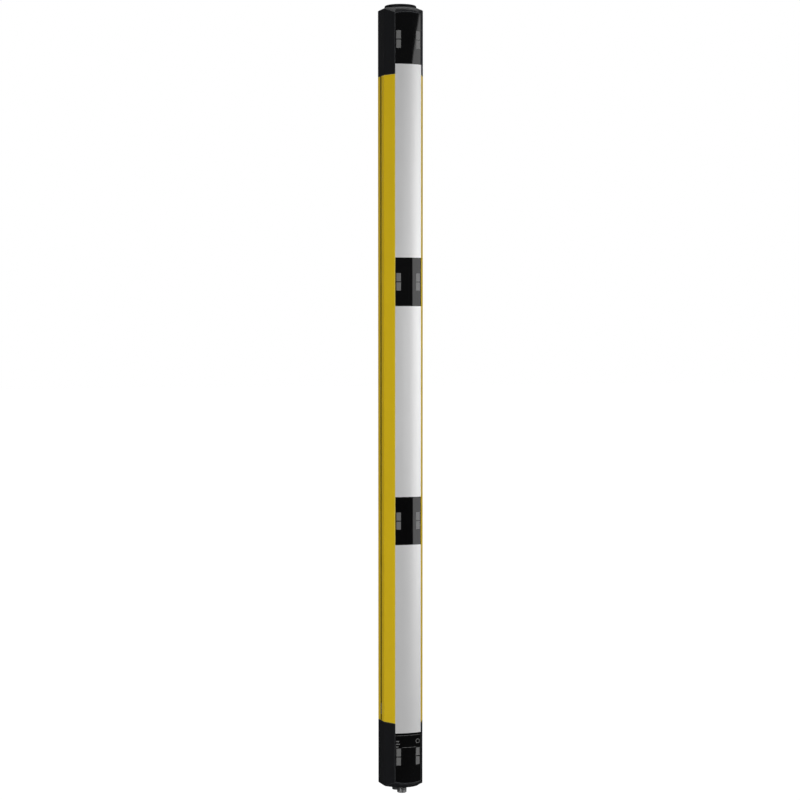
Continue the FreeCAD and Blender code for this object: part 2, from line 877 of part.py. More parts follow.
def make_connector_pins():
    """Pins that stand on the insert, evenly on a circle about the connector's axis."""
    pins = []
    for i in range(pin_count):
        angle = 2 * math.pi * (i + 0.5) / pin_count
        x = pin_circle_radius * math.sin(angle)
        y = connector_y + pin_circle_radius * math.cos(angle)
        pins.append(hexagon(x, y, connector_mouth + pin_tip_recess, insert_bottom, pin_across))
    return group(pins)


def make_connector_nut():
    low = lower_end + cap_end_wall
    high = low + connector_nut_thickness
    nut = hexagon(0, connector_y, low, high, connector_nut_across)
    return nut.cut(post(0, connector_y, low, high, connector_stem_radius + thread_clearance))


def make_blanking_plug():
    length = blank_length + blank_stem_length
    return turned(
        [(0, 0), (blank_radius, 0), (blank_radius, blank_length), (blank_stem_radius, blank_length),
         (blank_stem_radius, length), (0, length)],
        Vector(0, connector_y + plug_spacing, lower_end - blank_length), Z_AXIS)


def make_connector_lead():
    """A flat lead from the connector up and back to the terminal of the control board."""
    rear_y = control_rear_y + terminal_share * rear_room / 2
    level = last_beam - lead_level

    def line_at(offset):
        """One side of the lead, at an offset from its middle line."""
        first_bend = lead_bend_radius + offset
        second_bend = lead_bend_radius - offset
        turn_y = connector_y + lead_bend_radius
        turn_z = level - lead_bend_radius
        back_y = rear_y - lead_bend_radius
        back_z = level + lead_bend_radius
        k = math.sqrt(0.5)
        points = [
            Vector(0, turn_y - first_bend, stem_top),
            Vector(0, turn_y - first_bend, turn_z),
            Vector(0, turn_y - first_bend * k, turn_z + first_bend * k),
            Vector(0, turn_y, turn_z + first_bend),
            Vector(0, back_y, back_z - second_bend),
            Vector(0, back_y + second_bend * k, back_z - second_bend * k),
            Vector(0, back_y + second_bend, back_z),
            Vector(0, back_y + second_bend, control_bottom),
        ]
        return points

    outer = line_at(lead_thickness / 2)
    inner = line_at(-lead_thickness / 2)
    edges = []
    for points in (outer, inner):
        edges.append(Part.makeLine(points[0], points[1]))
        edges.append(Part.Arc(points[1], points[2], points[3]).toShape())
        edges.append(Part.makeLine(points[3], points[4]))
        edges.append(Part.Arc(points[4], points[5], points[6]).toShape())
        edges.append(Part.makeLine(points[6], points[7]))
    edges.append(Part.makeLine(outer[0], inner[0]))
    edges.append(Part.makeLine(outer[-1], inner[-1]))
    band = Part.Face(Part.Wire(Part.sortEdges(edges)[0]))
    band.translate(Vector(-lead_width / 2, 0, 0))
    return band.extrude(Vector(lead_width, 0, 0))


# Slot nut in the left side groove

nut_z = last_beam + nut_above_beam


def make_slot_nut():
    outer = -(half_width - nut_clearance)
    lip = -(half_width - side_lip - nut_clearance)
    inner = -(side_groove_floor + nut_clearance)
    neck_half = side_mouth / 2 - nut_clearance
    body_half = side_groove_width / 2 - nut_clearance
    low = nut_z - nut_length / 2
    high = nut_z + nut_length / 2
    nut = block(lip, inner, -body_half, body_half, low, high)
    nut = nut.fuse(block(outer, lip, -neck_half, neck_half, low, high))
    hole = Part.makeCylinder(nut_screw_radius + thread_clearance, far, Vector(-far, 0, nut_z), X_AXIS)
    return nut.cut(hole).removeSplitter()


def make_slot_nut_screw():
    floor = -side_groove_floor
    return Part.makeCylinder(nut_screw_radius, nut_screw_length,
                             Vector(floor - nut_screw_length, 0, nut_z), X_AXIS)


# All sub-parts

save("housing_profile", make_housing_profile())
save("top_end_cap", make_top_end_cap())
save("bottom_end_cap", make_bottom_end_cap())
save("top_cap_gasket", make_gasket(housing_top))
save("bottom_cap_gasket", make_gasket(housing_bottom - gasket_thickness))
save("cap_screws", make_cap_screws())
save("front_window", make_front_window())
save("window_seal_left", make_window_seal(-1))
save("window_seal_right", make_window_seal(1))
for i in range(beam_count - 1):
    save("cover_strip_" + str(i + 1), make_cover_strip(beam_z[i], beam_z[i + 1]))
save("module_rail", make_module_rail())
for i, z in enumerate(beam_z):
    number = str(i + 1)
    save("lens_holder_" + number, make_lens_holder(z))
    save("lens_" + number, make_lens(z))
    save("module_board_" + number, make_module_board(z))
    save("light_diode_" + number, make_diode(z))
save("ribbon_cable", make_ribbon_cable())
save("board_headers", make_board_headers())
save("ribbon_plugs", make_ribbon_plugs())
save("control_board", make_control_board())
save("board_supports", make_board_supports())
save("board_plug", make_board_plug())
save("safety_processors", make_safety_processors())
save("output_switches", make_output_switches())
save("board_capacitor", make_board_capacitor())
save("terminal_block", make_terminal_block())
save("display_board", make_display_board())
save("status_lamp", make_status_lamp())
save("light_pipe", make_light_pipe())
save("connector_shell", make_connector_shell())
save("connector_insert", make_connector_insert())
save("connector_pins", make_connector_pins())
save("connector_nut", make_connector_nut())
save("blanking_plug", make_blanking_plug())
save("connector_lead", make_connector_lead())
save("slot_nut", make_slot_nut())
save("slot_nut_screw", make_slot_nut_screw())
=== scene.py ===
import json
import math

import bmesh
import bpy
from mathutils import Matrix, Vector


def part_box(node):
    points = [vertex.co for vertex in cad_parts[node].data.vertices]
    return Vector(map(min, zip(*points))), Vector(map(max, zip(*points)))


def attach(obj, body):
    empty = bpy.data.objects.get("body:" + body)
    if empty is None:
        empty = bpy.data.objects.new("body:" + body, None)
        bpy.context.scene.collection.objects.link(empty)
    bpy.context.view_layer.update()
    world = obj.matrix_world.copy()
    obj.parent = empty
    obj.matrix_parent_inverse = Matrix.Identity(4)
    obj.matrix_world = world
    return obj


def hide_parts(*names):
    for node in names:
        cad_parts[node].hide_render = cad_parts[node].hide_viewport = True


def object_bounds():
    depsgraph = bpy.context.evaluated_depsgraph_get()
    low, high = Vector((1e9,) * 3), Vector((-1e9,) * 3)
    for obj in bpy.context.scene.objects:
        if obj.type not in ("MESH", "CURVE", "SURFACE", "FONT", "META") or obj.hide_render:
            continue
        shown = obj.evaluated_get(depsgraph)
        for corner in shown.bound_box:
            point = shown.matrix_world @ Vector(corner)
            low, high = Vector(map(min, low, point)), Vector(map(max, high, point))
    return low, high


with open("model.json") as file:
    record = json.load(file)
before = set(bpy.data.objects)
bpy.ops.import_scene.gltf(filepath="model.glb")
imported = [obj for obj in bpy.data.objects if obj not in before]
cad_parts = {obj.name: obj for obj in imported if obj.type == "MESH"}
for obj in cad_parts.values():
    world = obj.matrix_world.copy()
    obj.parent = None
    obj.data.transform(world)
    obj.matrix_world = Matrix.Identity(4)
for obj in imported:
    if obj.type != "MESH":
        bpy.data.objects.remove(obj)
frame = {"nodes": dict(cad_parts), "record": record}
cad_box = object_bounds()
nodes = frame["nodes"]
MM = 0.001


def measured(length):
    """A length from the frame, to the nearest micrometre."""
    return round(length, 6)


# Sizes of the post in metres; its windows face -Y and the flat end of its top cap is at height 0
CAP_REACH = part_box("top_end_cap")[1]
HALF_WIDTH = measured(CAP_REACH.x)
HALF_DEPTH = measured(CAP_REACH.y)
HALF_SIDE = 11.3 * MM
HALF_WINDOW = 17.5 * MM
HALF_REAR = 16.0 * MM
WINDOW_RISE = 3.1 * MM
CORNER_RADIUS = 2.0 * MM
LIP_RADIUS = 0.2 * MM
FRONT_RADIUS = (HALF_WINDOW ** 2 + WINDOW_RISE ** 2) / (2 * WINDOW_RISE)
FRONT_CENTRE_Y = FRONT_RADIUS - HALF_DEPTH
FRONT_STEPS = 40
BEAMS = [sum(corner.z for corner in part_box("lens_%d" % n)) / 2 for n in (1, 2, 3, 4)]

# Front window and the strips on it
STRIPS = ["cover_strip_%d" % n for n in (1, 2, 3)]
STRIP_THICKNESS = 0.3 * MM
PANE_HALF = measured(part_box("front_window")[1].x)
PANE_DEPTH = 0.6 * MM
PANE_THICKNESS = 2.2 * MM
PANE_SIDE_CLEARANCE = 0.1 * MM
PANE_END_CLEARANCE = 0.2 * MM
PANE_STEPS = 64

# Print on the window: the marks beside each beam
PRINT_DEPTH = 0.08 * MM
MARK_X = 13.0 * MM
MARK_WIDTH = 5.7 * MM
MARK_HEIGHT = 10.2 * MM
MARK_GAP = 1.2 * MM

# Print round the lamp, from the axis and the lowest beam; a line has its left, right, bottom and top
LAMP_LINES_MM = [(-16.2, 16.2, 27.0, 27.35), (-8.8, 10.2, 11.6, 12.0), (-16.0, -12.4, 19.0, 20.6),
                 (-16.0, -11.4, 15.6, 17.0), (-16.0, -13.0, 12.2, 13.6)]
LAMP_X = 12.7 * MM
LAMP_ABOVE_BEAM = 19.2 * MM
LAMP_RING_OUTER = 2.9 * MM
LAMP_RING_INNER = 2.2 * MM

# End caps, as the upper one stands
CAP_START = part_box("top_cap_gasket")[1].z
END_BEYOND_BEAM = measured(-BEAMS[0])
FLAT_RADIUS = 21.0 * MM
SHOULDER_RADIUS = 14.0 * MM
SHOULDER_END = math.radians(66)
SHOULDER_STEPS = 9
EDGE_ROUND = 0.8 * MM
EDGE_STAGES = ((0.0, 1.0), (0.12, 0.45), (0.45, 0.12))
BROW_DROP = 2.4 * MM
SEAT_Y = -26.0 * MM
SEAT_STEPS = (28, 8)
WELL_X = 19.6 * MM
WELL_Y = 13.8 * MM
WELL_HALF = 3.7 * MM
WELL_CORNER = (1.35 * MM, 2.85 * MM)
WELL_FLOOR = CAP_START + 4.0 * MM
CUT_PAST = 5.0 * MM
CAP_CREASE = 28.0

# Spigot on the top cap
SPIGOT_RADIUS = 20.0 * MM
SPIGOT_HEIGHT = measured(CAP_REACH.z)
SPIGOT_SUNK = 1.0 * MM
SPIGOT_ROUND = 1.5 * MM
SPIGOT_ROUND_STEPS = 5
SPIGOT_RIM = 5.0 * MM
FACE_SLOPE = 1.0 * MM
FACE_DEPTH = 0.6 * MM

# Thread on the connector and ribs round the blanking plug
THREAD_SUNK = 0.14 * MM
THREAD_START = 1.4 * MM
THREAD_LENGTH = 6.4 * MM
THREAD_PITCH = 1.0 * MM
THREAD_WIRE = 0.26 * MM
THREAD_TURN_POINTS = 40
RIB_SUNK = 0.05 * MM
RIB_MIDDLE = 5.2 * MM
RIB_LENGTH = 6.6 * MM
RIB_WIRE = 0.34 * MM
RIB_COUNT = 26
WIRE_POINTS = 8
TURNED_CREASE = 40.0

# Studio: grey levels, where the world turns from near to far, and the floor's half size and drop
WORLD_NEAR = 0.12
WORLD_FAR = 0.26
WORLD_TURN = (-0.45, 0.35)
WORLD_IN_GLOSS = 0.05
FLOOR_GREY = 0.85
FLOOR_IN_GLOSS = 0.06
FLOOR_GLOW = 1.08
FLOOR_GLOW_SHARE = 0.93
FLOOR_HALF = 30.0
FLOOR_DROP = 0.25


# Nodes

def feed(tree, node, inputs):
    """Gives a node's inputs plain values, or links where the value is another node's output."""
    for label, value in inputs.items():
        if isinstance(value, bpy.types.NodeSocket):
            tree.links.new(value, node.inputs[label])
        else:
            node.inputs[label].default_value = value
    return node


def add_node(tree, kind, inputs=None, **settings):
    """A node with its settings made and its inputs fed."""
    node = tree.nodes.new(kind)
    for setting, value in settings.items():
        setattr(node, setting, value)
    return feed(tree, node, inputs or {})


def noise(tree, vector, scale, detail, rough=0.5):
    """Soft random values."""
    return add_node(tree, "ShaderNodeTexNoise", {
        "Vector": vector, "Scale": scale, "Detail": detail, "Roughness": rough}).outputs["Fac"]


def mapped(tree, value, low, high, to_low=0.0, to_high=1.0, **settings):
    """A value moved from one range to another, and kept within it."""
    return add_node(tree, "ShaderNodeMapRange", {
        "Value": value, "From Min": low, "From Max": high, "To Min": to_low, "To Max": to_high},
        **settings).outputs["Result"]


def multiplied(tree, value, factor):
    """A value times a factor."""
    return add_node(tree, "ShaderNodeMath", {0: value, 1: factor},
                    operation="MULTIPLY").outputs["Value"]


def mix_colours(tree, factor, first, second):
    """Two colours mixed by a factor; each is three numbers or another node's output."""
    ends = [(*end, 1.0) if isinstance(end, tuple) else end for end in (first, second)]
    return add_node(tree, "ShaderNodeMix", {"Factor": factor, "A": ends[0], "B": ends[1]},
                    data_type="RGBA").outputs["Result"]


def grey(level):
    """A neutral colour."""
    return level, level, level


# Shader groups that the finishes share

def new_group(name, inputs, outputs):
    """A shader node group with named sockets, and the nodes at its two ends."""
    group = bpy.data.node_groups.new(name, "ShaderNodeTree")
    for label, kind, value in inputs:
        socket = group.interface.new_socket(label, in_out="INPUT", socket_type=kind)
        if value is not None:
            socket.default_value = value
    for label, kind in outputs:
        group.interface.new_socket(label, in_out="OUTPUT", socket_type=kind)
    return group, add_node(group, "NodeGroupInput"), add_node(group, "NodeGroupOutput")


def make_grain_group():
    """Fine grain, broad patches and a height, which every finish uses."""
    group, source, sink = new_group(
        "surface_grain",
        [("Vector", "NodeSocketVector", None), ("Grain Scale", "NodeSocketFloat", 900.0),
         ("Patch Scale", "NodeSocketFloat", 30.0), ("Speck Amount", "NodeSocketFloat", 0.3)],
        [("Grain", "NodeSocketFloat"), ("Patches", "NodeSocketFloat"), ("Height", "NodeSocketFloat")])
    vector, fineness = source.outputs["Vector"], source.outputs["Grain Scale"]
    grain = noise(group, vector, fineness, detail=3.0, rough=0.6)
    patches = noise(group, vector, source.outputs["Patch Scale"], detail=4.0, rough=0.55)
    specks = add_node(group, "ShaderNodeTexVoronoi", {"Vector": vector, "Scale": fineness})
    height = add_node(group, "ShaderNodeMix", {
        "Factor": source.outputs["Speck Amount"], "A": grain, "B": specks.outputs["Distance"]},
        data_type="FLOAT")
    feed(group, sink, {"Grain": grain, "Patches": patches, "Height": height.outputs["Result"]})
    return group


def make_scuff_group():
    """A mask of thin scratches, drawn out along one direction."""
    faintest, deepest = 0.56, 0.72
    group, source, sink = new_group(
        "fine_scuffs",
        [("Vector", "NodeSocketVector", None), ("Stretch", "NodeSocketVector", (1.0, 1.0, 0.05)),
         ("Scale", "NodeSocketFloat", 700.0)],
        [("Scuffs", "NodeSocketFloat")])
    drawn_out = add_node(group, "ShaderNodeVectorMath", {
        0: source.outputs["Vector"], 1: source.outputs["Stretch"]}, operation="MULTIPLY")
    streaks = noise(group, drawn_out.outputs["Vector"], source.outputs["Scale"], detail=2.0)
    feed(group, sink, {"Scuffs": mapped(group, streaks, faintest, deepest)})
    return group


def make_recess_shade_group():
    """A mask that grows in grooves and corners, where it paints shade into the colour."""
    # Occlusion levels at which the painted shade starts and at which it is full
    first_shade, full_shade = 0.88, 0.62
    group, source, sink = new_group(
        "recess_painted_shade",
        [("Distance", "NodeSocketFloat", 10 * MM), ("Amount", "NodeSocketFloat", 0.8)],
        [("Mask", "NodeSocketFloat")])
    shadow = add_node(group, "ShaderNodeAmbientOcclusion", {"Distance": source.outputs["Distance"]},
                      samples=8)
    shade_mask = mapped(group, shadow.outputs["AO"], first_shade, full_shade)
    feed(group, sink, {"Mask": multiplied(group, shade_mask, source.outputs["Amount"])})
    return group


def make_edge_and_highlight_group():
    """A normal that rounds sharp edges a little, and a mask of the edge itself, where a painted
    highlight goes.
    """
    # Turns of the rounded normal at which the painted highlight starts and at which it is full
    flat, edge = 0.995, 0.93
    group, source, sink = new_group(
        "softened_edges_and_highlight", [("Radius", "NodeSocketFloat", 0.7 * MM)],
        [("Normal", "NodeSocketVector"), ("Painted Highlight", "NodeSocketFloat")])
    rounded = add_node(group, "ShaderNodeBevel", {"Radius": source.outputs["Radius"]},
                       samples=4).outputs["Normal"]
    plain = add_node(group, "ShaderNodeNewGeometry").outputs["Normal"]
    turn = add_node(group, "ShaderNodeVectorMath", {0: rounded, 1: plain}, operation="DOT_PRODUCT")
    feed(group, sink, {"Normal": rounded, "Painted Highlight": mapped(group, turn.outputs["Value"], flat, edge)})
    return group


# Shared groups: the recess one paints shade into grooves and corners, the edge one paints a highlight
# along edges
GRAIN = make_grain_group()
SCUFFS = make_scuff_group()
PAINTED_RECESS_SHADE = make_recess_shade_group()
SOFT_EDGES_AND_HIGHLIGHT = make_edge_and_highlight_group()


# Finishes

FINISHES = {}
COAT_ROUGHNESS = 0.08
# How dark the painted shade in recesses turns a colour, as a share of it
PAINTED_SHADE_LEVEL = 0.06


def make_finish(name, colour, second, roughness, metallic=0.0, grain=900.0, patch=30.0, speck=0.3,
                bump=0.15, depth=0.05, rough_spread=0.08, scuffs=0.0, stretch=(1.0, 1.0, 0.05),
                scuff_scale=700.0, coat=0.0, transmission=0.0, shine=0.5, edge=0.0,
                highlight_colour=(0.5, 0.5, 0.5), recess_shade=0.3):
    """Two close colours in patches, uneven roughness, fine grain, scuffs, painted shade in recesses and
    a painted highlight along rounded edges.

    The edge's radius and the grain's depth are in millimetres; an edge of 0 leaves edges plain.
    """
    material = bpy.data.materials.new(name)
    material.use_nodes = True
    tree = material.node_tree
    place = add_node(tree, "ShaderNodeTexCoord").outputs["Object"]
    surface = add_node(tree, "ShaderNodeGroup", node_tree=GRAIN)
    feed(tree, surface, {"Vector": place, "Grain Scale": grain, "Patch Scale": patch,
                         "Speck Amount": speck})
    wear = add_node(tree, "ShaderNodeGroup", node_tree=SCUFFS)
    feed(tree, wear, {"Vector": place, "Stretch": stretch, "Scale": scuff_scale})
    # Painted shade: the colour darkens where ambient occlusion finds grooves and corners
    shade_mask = add_node(tree, "ShaderNodeGroup", {"Amount": recess_shade}, node_tree=PAINTED_RECESS_SHADE)

    tint = mix_colours(tree, surface.outputs["Patches"], colour, second)
    relief = add_node(tree, "ShaderNodeBump", {
        "Strength": bump, "Distance": depth * MM, "Height": surface.outputs["Height"]})
    # Rounded edges: a bent normal, and a painted highlight that mixes the tint towards a lighter colour
    if edge:
        softened = add_node(tree, "ShaderNodeGroup", {"Radius": edge * MM}, node_tree=SOFT_EDGES_AND_HIGHLIGHT)
        feed(tree, relief, {"Normal": softened.outputs["Normal"]})
        tint = mix_colours(tree, softened.outputs["Painted Highlight"], tint, highlight_colour)
    # The colour at full painted shade
    shaded_colour = tuple(PAINTED_SHADE_LEVEL * part for part in colour)
    spread = mapped(tree, surface.outputs["Grain"], 0.0, 1.0,
                    roughness - rough_spread, roughness + rough_spread)
    worn = add_node(tree, "ShaderNodeMath", {0: wear.outputs["Scuffs"], 1: scuffs, 2: spread},
                    operation="MULTIPLY_ADD")
    feed(tree, tree.nodes["Principled BSDF"], {
        "Metallic": metallic, "Specular IOR Level": shine, "Coat Weight": coat,
        "Coat Roughness": COAT_ROUGHNESS, "Transmission Weight": transmission,
        "Base Color": mix_colours(tree, shade_mask.outputs["Mask"], tint, shaded_colour),
        "Roughness": worn.outputs["Value"], "Normal": relief.outputs["Normal"]})
    FINISHES[name] = material


# Every finish gets painted shade in its recesses; the housing and cap also get a painted highlight along
# their edges
make_finish("housing_yellow", colour=(0.86, 0.59, 0.008), second=(0.81, 0.55, 0.007), roughness=0.36,
            grain=1100, patch=14, speck=0.5, bump=0.5, depth=0.10, shine=0.3, edge=1.0,
            highlight_colour=(0.90, 0.74, 0.17), recess_shade=0.95)
make_finish("cap_black", colour=(0.0105, 0.0108, 0.0122), second=(0.0140, 0.0143, 0.0160),
            roughness=0.42, grain=2200, patch=60, speck=0.6, bump=0.6, depth=0.08, shine=0.17,
            edge=1.0, highlight_colour=(0.075, 0.077, 0.082), recess_shade=0.6)
make_finish("gasket_rubber", colour=grey(0.020), second=grey(0.030), roughness=0.75, grain=2500,
            bump=0.3)
make_finish("steel_screw", colour=(0.56, 0.57, 0.58), second=(0.48, 0.49, 0.50), roughness=0.32,
            metallic=1.0, scuffs=0.2, stretch=(1, 1, 0.2))
make_finish("window_black", colour=(0.0016, 0.0016, 0.0018), second=(0.003, 0.003, 0.0032),
            roughness=0.05, grain=60, patch=25, speck=0.0, bump=0.01, depth=0.02, rough_spread=0.02,
            scuffs=0.05, scuff_scale=900)
make_finish("strip_white", colour=grey(0.82), second=grey(0.78), roughness=0.43, metallic=0.42,
            grain=1800, patch=12, bump=0.12, depth=0.02, scuffs=0.06, stretch=(1, 1, 0.02))
make_finish("mark_grey", colour=grey(0.135), second=(0.165, 0.165, 0.163), roughness=0.30,
            grain=1500, bump=0.05, rough_spread=0.03)
make_finish("rail_aluminium", colour=(0.72, 0.73, 0.74), second=(0.64, 0.65, 0.66), roughness=0.36,
            metallic=1.0, scuffs=0.25, stretch=(1, 1, 0.02))
make_finish("holder_black", colour=grey(0.012), second=grey(0.02), roughness=0.7, grain=2600,
            bump=0.4)
make_finish("lens_clear", colour=(0.90, 0.94, 0.98), second=(0.88, 0.92, 0.96), roughness=0.06,
            grain=300, bump=0.02, rough_spread=0.02, transmission=1.0)
make_finish("board_green", colour=(0.012, 0.12, 0.045), second=(0.02, 0.16, 0.06), roughness=0.35,
            grain=800, patch=160, speck=0.8, bump=0.3, coat=0.5)
make_finish("chip_black", colour=(0.018, 0.018, 0.02), second=(0.03, 0.03, 0.032), roughness=0.55,
            grain=3000, bump=0.3)
make_finish("diode_dark", colour=(0.03, 0.02, 0.045), second=(0.05, 0.03, 0.06), roughness=0.15,
            grain=400, bump=0.05, rough_spread=0.04)
make_finish("ribbon_grey", colour=(0.36, 0.36, 0.38), second=(0.42, 0.42, 0.44), roughness=0.5,
            bump=0.4, stretch=(1, 1, 0.01), scuffs=0.1)
make_finish("support_white", colour=(0.72, 0.72, 0.68), second=(0.66, 0.66, 0.62), roughness=0.45,
            grain=1500, bump=0.2)
make_finish("terminal_green", colour=(0.03, 0.26, 0.10), second=(0.04, 0.30, 0.12), roughness=0.4,
            grain=1500, bump=0.2)
make_finish("capacitor_sleeve", colour=(0.02, 0.025, 0.08), second=(0.03, 0.035, 0.10),
            roughness=0.25, grain=600, bump=0.1)
make_finish("lamp_clear", colour=(0.82, 0.80, 0.66), second=(0.76, 0.74, 0.60), roughness=0.3,
            bump=0.1)
make_finish("light_pipe_clear", colour=(0.92, 0.95, 0.95), second=(0.90, 0.93, 0.93),
            roughness=0.08, grain=300, bump=0.02, rough_spread=0.03, transmission=1.0)
make_finish("connector_metal", colour=grey(0.70), second=grey(0.60), roughness=0.44, metallic=1.0,
            grain=2000, bump=0.1, scuffs=0.2, stretch=(1, 1, 0.3))
make_finish("insert_black", colour=grey(0.02), second=grey(0.03), roughness=0.5, grain=2500,
            bump=0.25)
make_finish("pin_gold", colour=(0.86, 0.62, 0.24), second=(0.78, 0.55, 0.20), roughness=0.22,
            metallic=1.0, scuffs=0.15)
make_finish("plug_black", colour=(0.045, 0.047, 0.05), second=(0.06, 0.062, 0.065), roughness=0.35,
            grain=2200, bump=0.3, shine=0.7)
make_finish("lead_grey", colour=(0.09, 0.09, 0.10), second=(0.12, 0.12, 0.13), roughness=0.6,
            grain=1500, bump=0.25)
make_finish("nut_steel", colour=(0.80, 0.80, 0.81), second=(0.70, 0.70, 0.71), roughness=0.5,
            metallic=1.0, scuffs=0.25, stretch=(0.2, 1, 1))


# Shapes, each as its points and its faces

def evenly(start, end, steps):
    """Numbers from start to end in even steps."""
    return [start + (end - start) * i / steps for i in range(steps + 1)]


def circle(radius, steps):
    """Points round a circle."""
    turns = [2 * math.pi * i / steps for i in range(steps)]
    return [(radius * math.cos(turn), radius * math.sin(turn)) for turn in turns]


def arc_y(x, depth=0.0):
    """The y of the round front, a depth behind its outside."""
    return FRONT_CENTRE_Y - math.sqrt((FRONT_RADIUS - depth) ** 2 - x * x)


def arc_outline(x0, x1, front_depth, back_depth, steps):
    """A thin band that follows the round front, seen from above."""
    xs = evenly(x0, x1, steps)
    return ([(x, arc_y(x, front_depth)) for x in xs]
            + [(x, arc_y(x, back_depth)) for x in reversed(xs)])


def level(height):
    """The same height everywhere."""
    return lambda x, y: height


def closed_faces(count, rings):
    """Faces over rings of as many points, one ring after the other, and over both ends."""
    faces = []
    for low in range(0, (rings - 1) * count, count):
        for i in range(count):
            j = (i + 1) % count
            faces.append((low + i, low + j, low + count + j, low + count + i))
    faces.append(tuple(reversed(range(count))))
    faces.append(tuple(range((rings - 1) * count, rings * count)))
    return faces


def column(outline, bottom, top):
    """A closed solid over an outline, between two heights that may differ from point to point."""
    verts = [(x, y, height(x, y)) for height in (bottom, top) for x, y in outline]
    return verts, closed_faces(len(outline), 2)


def grid_block(xs, ys, bottom, top):
    """A closed block over a grid, between two heights that may differ from point to point."""
    width, lower = len(xs), len(xs) * len(ys)
    last_x, last_y = len(xs) - 1, len(ys) - 1
    verts = [(x, y, height(x, y)) for height in (top, bottom) for y in ys for x in xs]
    faces = []
    for row in range(last_y):
        for a in range(row * width, row * width + last_x):
            cell = (a, a + 1, a + 1 + width, a + width)
            faces.append(cell)
            faces.append(tuple(reversed([lower + n for n in cell])))
    border = (list(range(last_x)) + [row * width + last_x for row in range(last_y)]
              + [last_y * width + n for n in range(last_x, 0, -1)]
              + [row * width for row in range(last_y, 0, -1)])
    for a, b in zip(border, border[1:] + border[:1]):
        faces.append((a, lower + a, lower + b, b))
    return verts, faces


def lathe(profile, steps=72):
    """A solid turned round the post's axis, from pairs of radius and height."""
    verts = [(x, y, height) for radius, height in profile for x, y in circle(radius, steps)]
    return verts, closed_faces(steps, len(profile))


def join_shapes(shapes):
    """Several shapes as one."""
    verts, faces = [], []
    for more_verts, more_faces in shapes:
        start = len(verts)
        verts += more_verts
        faces += [tuple(start + i for i in face) for face in more_faces]
    return verts, faces


# Pieces

def add_object(name, data):
    """An object in the scene, at the origin."""
    thing = bpy.data.objects.new(name, data)
    bpy.context.scene.collection.objects.link(thing)
    return thing


def bake(piece):
    """Turns a piece's modifiers into a plain mesh."""
    bpy.context.view_layer.update()
    depsgraph = bpy.context.evaluated_depsgraph_get()
    mesh = bpy.data.meshes.new_from_object(piece.evaluated_get(depsgraph), depsgraph=depsgraph)
    piece.modifiers.clear()
    piece.data = mesh
    return piece


def edit(piece, change):
    """Opens a piece's mesh, changes it and writes it back."""
    work = bmesh.new()
    work.from_mesh(piece.data)
    change(work)
    work.to_mesh(piece.data)
    work.free()
    return piece


def new_piece(name, shape, finish):
    """A closed mesh with one finish, its faces turned outwards."""
    verts, faces = shape
    mesh = bpy.data.meshes.new(name)
    mesh.from_pydata(verts, [], faces)
    mesh.materials.append(FINISHES[finish])
    return edit(add_object(name, mesh),
                lambda work: bmesh.ops.recalc_face_normals(work, faces=work.faces))


def smooth(piece, crease=32.0, merge=0.0):
    """Smooth faces, with sharp edges where the surface turns by more than so many degrees."""
    limit = math.radians(crease)

    def shade(work):
        if merge:
            bmesh.ops.remove_doubles(work, verts=work.verts, dist=merge)
            bmesh.ops.dissolve_degenerate(work, edges=work.edges, dist=merge)
        for face in work.faces:
            face.smooth = True
        for edge in work.edges:
            edge.smooth = len(edge.link_faces) == 2 and edge.calc_face_angle(0.0) < limit

    edit(piece, shade)
    flats = piece.modifiers.new("even_flats", "WEIGHTED_NORMAL")
    flats.keep_sharp = True
    return bake(piece)


def carve(piece, shape):
    """Cuts a shape out of a piece."""
    cutter = new_piece("cutter", shape, "cap_black")
    cut = piece.modifiers.new("carve", "BOOLEAN")
    cut.operation = "DIFFERENCE"
    cut.solver = "EXACT"
    cut.object = cutter
    bake(piece)
    bpy.data.objects.remove(cutter)


def unite(piece, other):
    """Takes a second closed mesh into a piece."""
    edit(piece, lambda work: work.from_mesh(other.data))
    bpy.data.objects.remove(other)


def seat(piece, *replaced, slot):
    """Fixes a piece to the post and hides the solids it stands for."""
    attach(piece, "root")
    if replaced:
        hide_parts(*replaced)


# Camera and studio

def make_camera():
    """The photograph's camera, fitted to the beams and the edges of the section."""
    dip, turn = 3.52, 19.31
    lens = bpy.data.cameras.new("photo_camera")
    lens.sensor_width = 36.0
    lens.lens = 92.12
    lens.shift_x = -0.0005
    lens.shift_y = 0.0784
    camera = add_object("photo_camera", lens)
    camera.location = (-0.8593, -2.4524, -0.41005)
    camera.rotation_euler = (math.radians(90.0 - dip), 0.0, math.radians(-turn))
    bpy.context.scene.camera = camera


def make_panel(name, azimuth, distance, height, size, watts, roll=0.0, mirrored=True,
               aim_height=None):
    """A soft panel that faces the post's axis; one that isn't mirrored shows in no gloss."""
    light = bpy.data.lights.new(name, "AREA")
    light.shape = "RECTANGLE"
    light.size, light.size_y = size
    light.energy = watts
    panel = add_object(name, light)
    turn = math.radians(azimuth)
    panel.location = (distance * math.sin(turn), -distance * math.cos(turn), height)
    aim = Vector((0.0, 0.0, height if aim_height is None else aim_height)) - panel.location
    panel.rotation_euler = (aim.to_track_quat("-Z", "Y").to_matrix()
                            @ Matrix.Rotation(math.radians(roll), 3, "Z")).to_euler()
    panel.visible_glossy = mirrored
    panel.visible_camera = False


